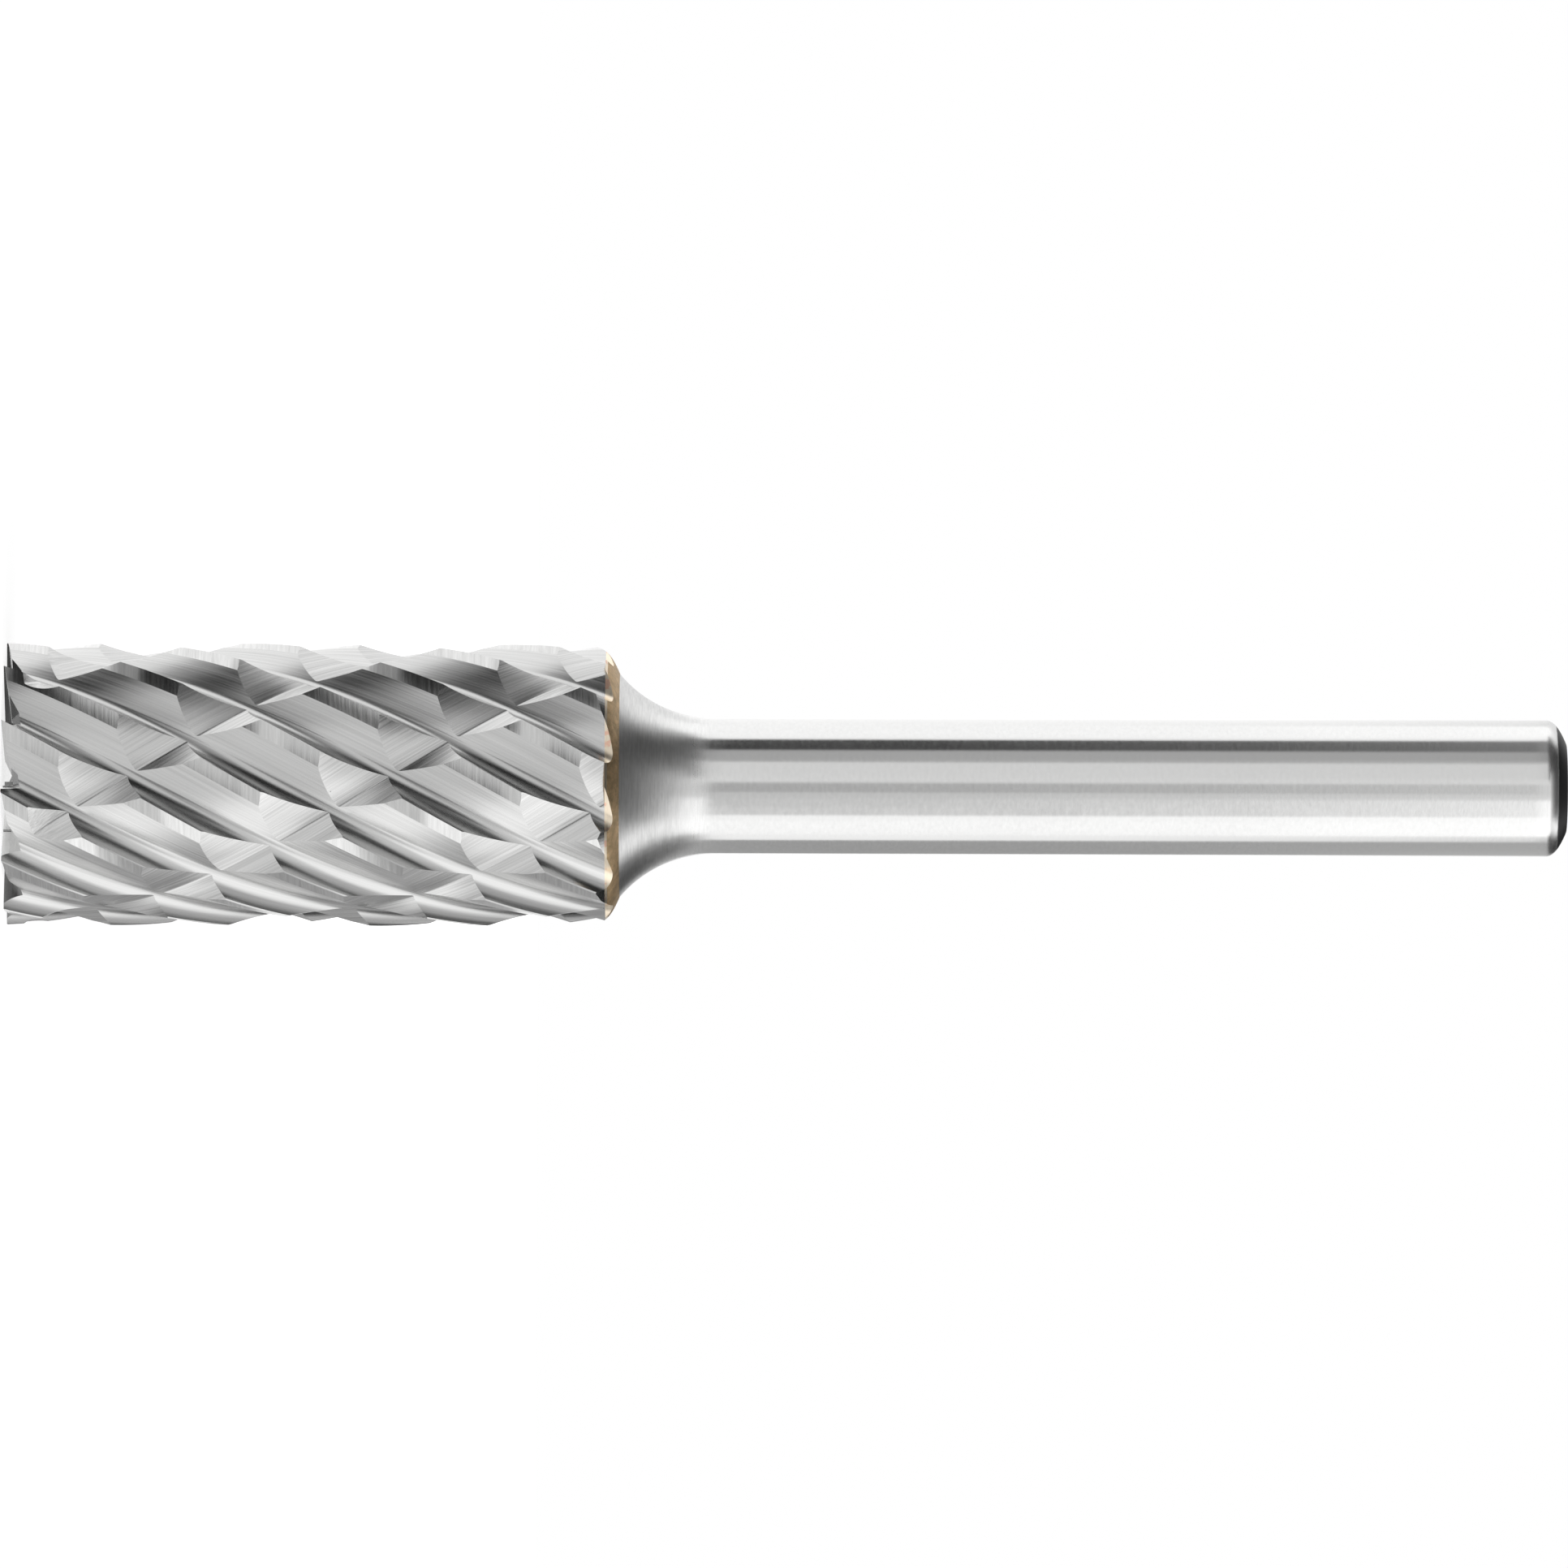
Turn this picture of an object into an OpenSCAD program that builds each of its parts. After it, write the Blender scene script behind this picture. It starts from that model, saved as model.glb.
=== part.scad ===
// Carbide burr with a straight shank, in millimetres.
// It stands on the tips of its end teeth, with the axis of the tool on +Z and the shank upwards.
// The flutes climb to the right, as on a thread, and the chip breaker grooves cross them to the left.

/* [Head] */
// Diameter over the cutting edges
head_d = 12.4; // [11:0.1:16]
// Length of the carbide head, from the end teeth to the braze
head_len = 26.35; // [18:0.05:40]
// Corner ground off the back of the head, measured along the axis
back_bevel_len = 0.4; // [0.1:0.05:1]
// The same corner, measured inwards
back_bevel_in = 0.3; // [0.1:0.05:0.5]

/* [Flutes] */
// Number of flutes, and of teeth
tooth_count = 12; // [10:1:14]
// Length of head in which a flute makes one turn
flute_lead = 68.6; // [45:0.1:100]
// Depth of a flute below the cutting edge
flute_depth = 0.74; // [0.5:0.02:1.1]
// Width of the narrow land behind each cutting edge
land_w = 0.74; // [0.3:0.01:1]
// How far the land falls away from the cutting edge
land_drop = 0.19; // [0.05:0.01:0.4]
// Width in which the back of a tooth runs out into the flute bottom
gullet_w = 0.15; // [0.1:0.01:0.4]
// Width that the hollow rake face takes up, from the flute bottom to the cutting edge
rake_w = 0.88; // [0.4:0.01:1.1]

/* [Chip breakers] */
// Number of cross grooves
groove_count = 5; // [3:1:7]
// Length of head in which a cross groove makes one turn
groove_lead = 56.8; // [40:0.1:90]
// Depth of a cross groove below the cutting edge
groove_depth = 0.7; // [0.3:0.02:0.9]
// Width of the long side of a cross groove, the side nearer the end teeth
groove_front_w = 3.1; // [1.5:0.05:3.4]
// Width of the short side of a cross groove
groove_back_w = 1.4; // [0.6:0.05:2.2]
// Turn of the grooves against the flutes at the end teeth
groove_start = 10.5; // [0:0.5:72]

/* [End teeth] */
// How far the end of a tooth falls away behind its edge
end_relief = 0.5; // [0.2:0.05:0.8]
// Depth of an end gash at the rim of the head
gash_depth = 1.3; // [0.9:0.05:2]
// Diameter at which the end gashes run out
gash_inner_d = 6.8; // [5:0.1:9]
// Diameter of the hollow in the middle of the end
hollow_d = 4.4; // [3:0.1:4.8]
// Depth of that hollow
hollow_depth = 0.5; // [0.2:0.05:1]

/* [Braze] */
// Length of the braze joint
braze_len = 0.62; // [0.3:0.02:1.2]

/* [Shank] */
// Diameter of the shank, which a collet holds
shank_d = 6; // [5:0.1:8]
// Length of the whole tool
overall_len = 68.6; // [60:0.1:110]
// Diameter of the neck where it meets the braze
neck_d = 9.82; // [9.4:0.02:10.4]
// Radius of the curve from the neck into the shank
neck_round = 5.3; // [4:0.1:10]
// Length of the rounding at the end of the shank
end_round_len = 0.93; // [0.3:0.01:2]
// How far that rounding comes in from the side
end_round_in = 1.05; // [0.3:0.05:2]

/* [Hidden] */
$fn = 96;

head_r = head_d / 2;
shank_r = shank_d / 2;
neck_r = neck_d / 2;
hollow_r = hollow_d / 2;
gash_inner_r = gash_inner_d / 2;
braze_r = head_r - back_bevel_in;
neck_z = head_len + braze_len;

// Angles of one tooth, counted from its cutting edge.
tooth_turn = 360 / tooth_count;
land_turn = land_w / head_r * 180 / PI;
gullet_turn = gullet_w / head_r * 180 / PI;
rake_turn = rake_w / head_r * 180 / PI;
heel_turn = tooth_turn - rake_turn - gullet_turn;
valley_r = head_r - flute_depth;
// The back of a tooth stops a little above the flute bottom.
heel_rise = 0.02;
// The rake face is hollow ground, as a part of a round: its slope at the cutting edge, and the straight pieces in it.
rake_slope = 76;
rake_steps = 4;

// Each slice of a twisted form turns this far.
slice_turn = 6.6;
head_slices = ceil(360 * head_len / flute_lead / slice_turn);
groove_slices = ceil(360 * head_len / groove_lead / slice_turn);

// Angles of one cross groove, counted from its bottom.
groove_turn = 360 / groove_count;
groove_front_turn = groove_front_w / head_r * 180 / PI;
groove_back_turn = groove_back_w / head_r * 180 / PI;
// The sides of a cross groove are carried on past the land to this many times their own width.
side_carry = 1.2;

// Room that a cutter or a blank is given beyond the surface that it works on.
spare = 0.6;
// Where the relief of an end tooth ends, counted from its edge.
relief_rest_share = 0.23;
relief_turn = tooth_turn - rake_turn * relief_rest_share;
// Where an end gash starts and where its wall stands, counted from the same edge.
gash_start_share = 0.32;
gash_start_turn = tooth_turn * gash_start_share;
gash_rest_share = 0.115;
gash_turn = tooth_turn - rake_turn * gash_rest_share;
// At its inner end a gash lies this far above the relief, so that it runs out before it gets there.
gash_runout = 0.15;
// The relief of the end teeth is cut from just inside the rim of the hollow outwards.
relief_inner_r = hollow_r - 0.2;
// Thickness of the plates that the end cuts are spanned between.
plate_t = 0.01;

// Where the curve of the neck runs into the straight shank.
neck_curve_len = sqrt(pow(neck_round, 2) - pow(neck_round - (neck_r - shank_r), 2));
curve_steps = 14;
end_steps = 8;
end_power = 2.2;

// A point at radius r and angle a.
function turned(r, a) = [r * cos(a), r * sin(a)];

// Radius of the rake face where it has reached slope b, from the flute bottom at slope 0.
function rake_at(b) = valley_r + flute_depth * (1 - cos(b)) / (1 - cos(rake_slope));

// Angle of the same place.
function rake_place(b) = heel_turn + gullet_turn + rake_turn * sin(b) / sin(rake_slope);

// One tooth and the flute behind it, from the cutting edge up to the next one.
function tooth_points(a) = concat(
    [turned(head_r, a), turned(head_r - land_drop, a + land_turn), turned(valley_r + heel_rise, a + heel_turn)],
    [for (i = [0:rake_steps - 1]) let (b = rake_slope * i / rake_steps) turned(rake_at(b), a + rake_place(b))]
);

// Outline across all the teeth.
module tooth_ring() {
    polygon([for (i = [0:tooth_count - 1]) each tooth_points(i * tooth_turn)]);
}

// The far end of a groove side, which runs from the bottom at angle a through the land at angle b and on past it.
function side_end(a, b) =
    let (bottom = turned(head_r - groove_depth, a))
    bottom + (turned(head_r, b) - bottom) * side_carry;

// From the bottom of one cross groove up its short side, over the standing metal and back down the long side of the next.
function groove_points(a) = [
    turned(head_r - groove_depth, a),
    side_end(a, a + groove_back_turn),
    turned(head_d, a + groove_turn / 2),
    side_end(a + groove_turn, a + groove_turn - groove_front_turn)
];

// Outline that reaches inside the head only at the cross grooves.
module groove_ring() {
    polygon([for (i = [0:groove_count - 1]) each groove_points(i * groove_turn)]);
}

// The ring of teeth wound up the head, from height z on.
module wound_teeth(z, len) {
    translate([0, 0, z])
    rotate(360 * z / flute_lead)
    linear_extrude(height = len, twist = -360 * len / flute_lead, slices = ceil(head_slices * len / head_len))
    tooth_ring();
}

module wound_grooves() {
    rotate(groove_start)
    linear_extrude(height = head_len, twist = 360 * head_len / groove_lead, slices = groove_slices)
    groove_ring();
}

// Blank of the head, with the corner at its back ground off.
module head_blank() {
    cylinder(h = head_len - back_bevel_len, r = head_r + spare);
    translate([0, 0, head_len - back_bevel_len])
    cylinder(h = back_bevel_len, r1 = head_r, r2 = braze_r);
}

// Thin plate across the end cuts at distance r from the axis: it deepens from z1 at angle a1 to z2 at angle a2.
module end_plate(r, a1, z1, a2, z2) {
    translate([r, 0, 0])
    rotate([90, 0, 90])
    linear_extrude(height = plate_t)
    polygon([[r * tan(a1), z1], [r * tan(a2), z2], [r * tan(a2), -spare], [r * tan(a1), -spare]]);
}

// The end of one tooth falls away from the edge.
module tooth_relief() {
    hull() {
        end_plate(head_r + spare, 0, 0, relief_turn, end_relief);
        end_plate(relief_inner_r, 0, 0, relief_turn, end_relief);
    }
}

// Gash in front of the next end tooth: it deepens outwards and ends at that tooth's rake face.
module end_gash() {
    inner_depth = end_relief - gash_runout;
    reach = (head_r + spare - gash_inner_r) / (head_r - gash_inner_r);
    hull() {
        end_plate(head_r + spare, gash_start_turn, 0, gash_turn, inner_depth + (gash_depth - inner_depth) * reach);
        end_plate(gash_inner_r, gash_start_turn, 0, gash_turn, inner_depth);
    }
}

module burr_head() {
    color("silver")
    difference() {
        intersection() {
            wound_teeth(0, head_len);
            wound_grooves();
            head_blank();
        }
        for (i = [0:tooth_count - 1])
            rotate(i * tooth_turn) {
                tooth_relief();
                end_gash();
            }
        translate([0, 0, -spare])
        cylinder(h = spare + hollow_depth, r = hollow_r);
    }
}

module braze_joint() {
    color("gold")
    intersection() {
        wound_teeth(head_len, braze_len);
        translate([0, 0, head_len])
        cylinder(h = braze_len, r1 = braze_r, r2 = neck_r);
    }
}

// Radius of the neck at height h above its start, down to the shank.
function neck_at(h) = shank_r + neck_round - sqrt(pow(neck_round, 2) - pow(neck_curve_len - h, 2));

// Radius at share s of the rounding at the end of the shank.
function end_at(s) = shank_r - end_round_in * pow(s, end_power);

module shank() {
    color("gainsboro")
    rotate_extrude()
    polygon(concat(
        [[0, neck_z]],
        [for (i = [0:curve_steps]) let (h = neck_curve_len * i / curve_steps) [neck_at(h), neck_z + h]],
        [for (i = [0:end_steps]) let (s = i / end_steps) [end_at(s), overall_len - (1 - s) * end_round_len]],
        [[0, overall_len]]
    ));
}

burr_head();
braze_joint();
shank();
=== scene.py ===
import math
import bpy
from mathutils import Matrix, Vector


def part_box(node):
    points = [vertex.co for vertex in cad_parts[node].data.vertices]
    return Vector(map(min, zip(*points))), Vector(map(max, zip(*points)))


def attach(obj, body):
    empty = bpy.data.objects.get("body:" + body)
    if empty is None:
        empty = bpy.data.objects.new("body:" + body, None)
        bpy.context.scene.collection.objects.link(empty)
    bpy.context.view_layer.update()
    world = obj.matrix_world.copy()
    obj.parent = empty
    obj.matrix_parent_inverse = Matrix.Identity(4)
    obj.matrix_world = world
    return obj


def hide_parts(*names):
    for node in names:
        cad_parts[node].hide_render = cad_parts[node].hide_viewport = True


bl_info = {
    "name": "Carbide burr",
    "version": (1, 0, 0),
    "blender": (4, 5, 0),
    "location": "3D View > Sidebar > Carbide burr",
    "description": "Builds a cylindrical carbide burr on a straight steel shank, and its studio",
    "category": "Mesh",
}

import bmesh
import bpy
import numpy as np
from bpy.props import FloatProperty, FloatVectorProperty, IntProperty, PointerProperty
from mathutils import Matrix, Vector

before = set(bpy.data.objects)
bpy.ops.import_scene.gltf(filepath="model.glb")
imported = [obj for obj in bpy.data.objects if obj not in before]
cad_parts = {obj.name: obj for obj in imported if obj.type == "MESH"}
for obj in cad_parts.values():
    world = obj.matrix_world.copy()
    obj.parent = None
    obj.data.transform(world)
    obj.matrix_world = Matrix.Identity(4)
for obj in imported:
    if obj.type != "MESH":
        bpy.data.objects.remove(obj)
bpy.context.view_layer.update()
HEAD_LOW, HEAD_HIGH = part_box("burr_head")
HEAD_ACROSS = 2 * max(HEAD_HIGH.x, HEAD_HIGH.y, -HEAD_LOW.x, -HEAD_LOW.y)
SHANK_LOW, SHANK_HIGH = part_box("shank")

MM = 0.001
MICRON = 0.000001
TURN = 2 * math.pi

# Finishes of the head, in the order of its material slots.
LAND, BACK, FLUTE, HONE, BREAKER, CORNER, END, HOLLOW = range(8)

# Finishes of the braze joint, in the same way.
SKIN, BARE = range(2)

# Bare lengths are in millimetres, down to the studio.

# Room that a cutter or a blank is given beyond the surface that it works on.
SPARE = 0.6
# The back of a tooth stops a little above the flute bottom.
HEEL_RISE = 0.02
# The flute bottom lies at this share of the way from the heel of a tooth to the next cutting edge.
BOTTOM_SHARE = 0.1
# The edge hone takes this share of its width from the land. On the rake face it takes this share of the
# way up for each millimetre of its width.
HONE_ON_LAND, HONE_ON_RAKE = 0.7, 0.5
# The sides of a cross groove are carried on past the land to this many times their own width.
SIDE_CARRY = 1.2
# Before the next edge the relief of an end tooth and its gash leave these shares of the rake's turn.
RELIEF_REST_SHARE, GASH_REST_SHARE = 0.23, 0.115
# An end gash starts at this share of a tooth's turn.
GASH_START_SHARE = 0.32
# At its inner end a gash lies this far above the relief.
GASH_RUNOUT = 0.15
# The relief is cut from this far inside the rim of the hollow.
RELIEF_OVERLAP = 0.2
# How round the end of the shank is.
END_POWER = 2.2
# Pits in the ground carbide: cells to a metre, how far a pit reaches in its cell, and how dark it is.
PIT_CELLS, PIT_SIZE, PIT_TONE = 900.0, 0.05, 0.25
# Steps round the turned pieces.
HEAD_STEPS, HOLLOW_STEPS, BRAZE_STEPS, SHANK_STEPS = 256, 128, 360, 256
# Edges sharper than this stay sharp.
BRAZE_SHARP, SHANK_SHARP = math.radians(20), math.radians(30)


# Sizes and colours


def length(name, description, default_mm):
    """A length in metres, given here in millimetres."""
    return FloatProperty(
        name=name,
        description=description,
        default=default_mm * MM,
        min=0.0,
        unit="LENGTH",
        subtype="DISTANCE",
        precision=5,
    )


def count(name, description, default, least, most):
    return IntProperty(name=name, description=description, default=default, min=least, max=most)


def share(name, description, default):
    return FloatProperty(
        name=name, description=description, default=default, min=0.0, max=1.0, subtype="FACTOR"
    )


def strength(name, description, default):
    return FloatProperty(name=name, description=description, default=default, min=0.0, max=5.0)


def tint(name, description, default):
    return FloatVectorProperty(
        name=name, description=description, default=default, size=3, min=0.0, max=1.0, subtype="COLOR"
    )


def angle(name, description, degrees):
    return FloatProperty(
        name=name,
        description=description,
        default=math.radians(degrees),
        unit="ROTATION",
        subtype="ANGLE",
    )


class HeadSizes(bpy.types.PropertyGroup):
    """Sizes of the carbide head"""

    diameter: length("Diameter", "Across the cutting edges", HEAD_ACROSS / MM)
    height: length("Length", "From the end teeth to the braze", HEAD_HIGH.z / MM)
    corner_length: length("Corner length", "Corner ground off the back of the head, along the axis", 0.4)
    corner_depth: length("Corner depth", "The same corner, measured inwards", 0.3)
    teeth: count("Teeth", "Number of flutes and teeth", 12, 6, 20)
    flute_lead: length("Flute lead", "Length in which a flute makes one turn", 68.6)
    flute_depth: length("Flute depth", "Depth of a flute below the cutting edge", 0.74)
    land: length("Land", "Width of the land behind each cutting edge", 0.74)
    land_drop: length("Land drop", "How far the land falls away from the cutting edge", 0.19)
    back_swell: length("Back swell", "How far the middle of a tooth back stands proud", 0.03)
    gullet: length("Gullet", "Width in which a tooth back runs out into the flute bottom", 0.15)
    rake: length("Rake", "Width that the hollow rake face takes up", 0.88)
    rake_slope: angle("Rake slope", "Slope of the hollow rake face at the cutting edge", 76)
    hone: length("Edge hone", "Width of the tiny flat on each cutting edge", 0.065)
    breakers: count("Chip breakers", "Number of cross grooves", 5, 1, 9)
    breaker_lead: length("Chip breaker lead", "Length in which a cross groove makes one turn", 56.8)
    breaker_depth: length("Chip breaker depth", "Depth of a cross groove below the cutting edge", 0.7)
    breaker_front: length("Long side", "Width of the groove side nearer the end teeth", 3.1)
    breaker_swell: length("Long side swell", "How far the middle of that side stands proud", 0.11)
    breaker_back: length("Short side", "Width of the other side of a groove", 1.4)
    breaker_round: length("Groove corner", "How far a groove's round bottom reaches up its sides", 0.09)
    breaker_run_out: length("Groove run-out", "Below this height the grooves grow shallow", 2.8)
    breaker_start: angle("Groove start", "Turn of the grooves at the end teeth", 10.5)
    relief: length("End relief", "How far the end of a tooth falls away behind its edge", 0.5)
    gash_depth: length("Gash depth", "Depth of an end gash at the rim", 1.3)
    gash_inner: length("Gash inner diameter", "Diameter at which the end gashes run out", 6.8)
    hollow: length("Hollow diameter", "Hollow in the middle of the end", 4.4)
    hollow_depth: length("Hollow depth", "Depth of that hollow", 0.5)
    slices: count("Slices", "Steps in which the head is wound up", 170, 20, 400)


class ShankSizes(bpy.types.PropertyGroup):
    """Sizes of the braze joint and the steel shank"""

    braze: length("Braze", "Length of the braze joint", (SHANK_LOW.z - HEAD_HIGH.z) / MM)
    braze_swell: length("Braze swell", "How far the middle of the braze joint stands proud", 0.13)
    neck: length("Neck diameter", "Where the neck meets the braze", (SHANK_HIGH.x - SHANK_LOW.x) / MM)
    neck_round: length("Neck curve", "Radius of the curve from the neck into the shank", 5.3)
    diameter: length("Shank diameter", "What the collet holds", 6.0)
    top: length("Overall length", "Height of the end of the shank", SHANK_HIGH.z / MM)
    end_length: length("End rounding length", "Along the axis, at the end of the shank", 0.93)
    end_depth: length("End rounding depth", "How far that rounding comes in from the side", 1.05)
    black_end: length("Blackened end", "Length of the black band at the end of the shank", 0.46)


class Finishes(bpy.types.PropertyGroup):
    """Colours and finishes"""

    carbide: tint("Carbide", "Ground tungsten carbide", (0.63, 0.63, 0.625))
    carbide_roughness: share("Carbide roughness", "Roughness of the ground carbide", 0.2)
    steel: tint("Steel", "Ground steel of the shank", (0.8, 0.8, 0.795))
    steel_roughness: share("Steel roughness", "Roughness of the shank", 0.15)
    # Black and not metallic over the last part of the shank's rounded end.
    black: tint("Black end", "Black band at the very end of the shank", (0.012, 0.012, 0.013))
    braze_skin: tint("Braze skin", "Unground braze", (0.62, 0.45, 0.26))
    braze_cut: tint("Cut braze", "Braze that the flutes cut bare", (0.95, 0.83, 0.66))
    copper: tint("Copper", "Copper layer bared in the deepest cuts", (0.93, 0.56, 0.42))


class StudioSizes(bpy.types.PropertyGroup):
    """Floor, light tent and camera"""

    floor: length("Floor", "Side of the square floor", 3000)
    floor_colour: tint("Floor colour", "Pale floor", (0.86, 0.86, 0.86))
    tent: length("Tent radius", "Radius of the light tent round the burr", 500)
    tent_strength: strength("Tent strength", "Brightness of white tent cloth", 1.4)
    distance: length("Camera distance", "From the camera to the axis of the burr", 700)
    view_height: length("View height", "Height on the burr at which the camera looks", 34.19)
    view_side: length("View side step", "How far the camera stands above the axis in the picture", 0.132)
    picture: length("Picture width", "What the picture takes in at the burr", 69.0)
    camera_turn: angle("Camera azimuth", "Turn of the camera about the axis", -3.03)
    camera_roll: angle("Camera roll", "How far the axis of the burr leans in the picture", 0.178)
    floor_glow: strength("Floor glow", "Brightness of the floor as the camera sees it", 0.69)


# Meshes


def add_mesh(name, points, faces, finishes=None, materials=()):
    """A mesh object at the origin. The pieces are made in millimetres, and the stage in metres."""
    mesh = bpy.data.meshes.new(name)
    mesh.from_pydata(np.asarray(points).tolist(), [], faces)
    for material in materials:
        mesh.materials.append(material)
    if finishes is not None:
        mesh.polygons.foreach_set("material_index", np.asarray(finishes, np.int32))
    thing = bpy.data.objects.new(name, mesh)
    bpy.context.scene.collection.objects.link(thing)
    return thing


def wound_prism(name, outline, finishes, span, lead, start, slices, materials, widening=None):
    """An outline wound up the axis over a span of heights. A negative lead winds the other way."""
    count = len(outline)
    z = np.linspace(*span, slices + 1)
    turn = start + TURN * z / lead
    c, s = np.cos(turn)[:, None], np.sin(turn)[:, None]
    x = outline[None, :, 0] * c - outline[None, :, 1] * s
    y = outline[None, :, 0] * s + outline[None, :, 1] * c
    if widening:
        x, y = x * widening(z)[:, None], y * widening(z)[:, None]
    points = np.stack([x, y, np.broadcast_to(z[:, None], x.shape)], axis=2).reshape(-1, 3)
    row, i = np.meshgrid(np.arange(slices), np.arange(count), indexing="ij")
    k = (i + 1) % count
    above = row + 1
    sides = np.stack([row * count + i, row * count + k, above * count + k, above * count + i], axis=2)
    faces = sides.reshape(-1, 4).tolist()
    faces += [list(range(count))[::-1], [slices * count + q for q in range(count)]]
    kinds = np.concatenate([np.tile(np.asarray(finishes), slices), [CORNER, CORNER]])
    return add_mesh(name, points, faces, kinds, materials)


def turned_blank(name, profile, finishes, steps, materials=()):
    """A closed solid turned from (radius, height) pairs that start and end on the axis."""
    ring = np.linspace(0, TURN, steps, endpoint=False)
    inner = profile[1:-1]
    points = [(0, 0, profile[0][1])]
    for r, h in inner:
        points += [(r * math.cos(a), r * math.sin(a), h) for a in ring]
    points.append((0, 0, profile[-1][1]))
    last = len(points) - 1
    faces, kinds = [], []
    for i in range(steps):
        k = (i + 1) % steps
        faces.append([0, 1 + k, 1 + i])
        kinds.append(finishes[0])
        for j in range(len(inner) - 1):
            a, b = 1 + j * steps, 1 + (j + 1) * steps
            faces.append([a + i, a + k, b + k, b + i])
            kinds.append(finishes[j + 1])
        a = 1 + (len(inner) - 1) * steps
        faces.append([a + i, a + k, last])
        kinds.append(finishes[-1])
    return add_mesh(name, points, faces, kinds, materials)


def hull_of(name, points, finish, materials):
    """The convex solid round some points."""
    shell = bmesh.new()
    for p in points:
        shell.verts.new(p)
    bmesh.ops.convex_hull(shell, input=shell.verts)
    bmesh.ops.recalc_face_normals(shell, faces=shell.faces)
    mesh = bpy.data.meshes.new(name)
    shell.to_mesh(mesh)
    shell.free()
    for material in materials:
        mesh.materials.append(material)
    mesh.polygons.foreach_set("material_index", np.full(len(mesh.polygons), finish, np.int32))
    thing = bpy.data.objects.new(name, mesh)
    bpy.context.scene.collection.objects.link(thing)
    return thing


def cut(body, tool, operation):
    """Cuts body with tool, which goes."""
    step = body.modifiers.new("cut", "BOOLEAN")
    step.operation = operation
    step.solver = "MANIFOLD"
    step.object = tool
    shaped = bpy.data.meshes.new_from_object(body.evaluated_get(bpy.context.evaluated_depsgraph_get()))
    body.modifiers.clear()
    old = body.data
    body.data = shaped
    bpy.data.meshes.remove(old)
    old = tool.data
    bpy.data.objects.remove(tool)
    bpy.data.meshes.remove(old)
    if len(shaped.polygons) == 0:
        raise RuntimeError(f"nothing was left of {body.name}")


def polar(r, a):
    return np.array([r * math.cos(a), r * math.sin(a)])


def spin(points, a):
    """Plane points turned about the axis."""
    c, s = math.cos(a), math.sin(a)
    return np.stack([points[:, 0] * c - points[:, 1] * s, points[:, 0] * s + points[:, 1] * c], axis=1)


def headings(run):
    """Where the middle of each step along an outline lies round the axis, and which way the step runs."""
    run = np.array(run)
    step = np.diff(run, axis=0)
    middle = (run[1:] + run[:-1]) / 2
    return np.arctan2(middle[:, 1], middle[:, 0]), np.unwrap(np.arctan2(step[:, 1], step[:, 0]))


class Tooth:
    """Outline of one tooth and its flute, from the cutting edge on, with the direction that it runs in."""

    def __init__(self, head):
        radius = head.diameter / MM / 2
        depth = head.flute_depth / MM
        self.turn = TURN / head.teeth
        land = head.land / MM / radius
        gullet = head.gullet / MM / radius
        rake = head.rake / MM / radius
        hone = head.hone / MM
        heel = self.turn - rake - gullet
        valley = radius - depth
        steep = head.rake_slope
        swell = head.back_swell / MM

        def rake_face(slope):
            """The hollow rake face, from the flute bottom at slope 0 up to the cutting edge."""
            climb = (1 - math.cos(slope)) / (1 - math.cos(steep))
            return polar(valley + depth * climb, heel + gullet + rake * math.sin(slope) / math.sin(steep))

        def flute(s):
            """From the heel, at 0, over the flute bottom and up the rake face to the cutting edge, at 1."""
            if s < BOTTOM_SHARE:
                way = s / BOTTOM_SHARE
                return polar(valley + HEEL_RISE * (1 - way) ** 2, heel + way * gullet)
            return rake_face(steep * (s - BOTTOM_SHARE) / (1 - BOTTOM_SHARE))

        hone_turn = HONE_ON_LAND * hone / radius
        edge = polar(radius, hone_turn)
        shoulder = polar(radius - head.land_drop / MM, land)
        foot = flute(0)
        along = foot - shoulder
        outwards = np.array([along[1], -along[0]]) / np.hypot(*along)

        def back(t):
            """From the land, at 0, to the heel, at 1."""
            return shoulder + along * t + outwards * swell * 4 * t * (1 - t)

        top = 1 - HONE_ON_RAKE * hone
        points = [edge + (shoulder - edge) * f for f in np.linspace(0, 1, 4, endpoint=False)]
        points += [back(t) for t in np.linspace(0, 1, 8, endpoint=False)]
        points += [flute(s) for s in np.linspace(0, top, 24)]
        self.points = np.array(points)
        self.kinds = [LAND] * 4 + [BACK] * 8 + [FLUTE] * 23 + [HONE]
        self.land_heading = math.atan2(*(shoulder - edge)[::-1])
        self.hone_heading = math.atan2(*(polar(radius, self.turn + hone_turn) - points[-1])[::-1])
        fine_back, fine_flute = np.linspace(0, 1, 24), np.linspace(0, top, 80)
        self.back_at, self.back_heading = headings([back(t) for t in fine_back])
        self.flute_at, self.flute_heading = headings([flute(s) for s in fine_flute])

    def ring(self, teeth):
        """Points and finishes all round."""
        points = np.concatenate([spin(self.points, i * self.turn) for i in range(teeth)])
        return points, self.kinds * teeth


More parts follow.
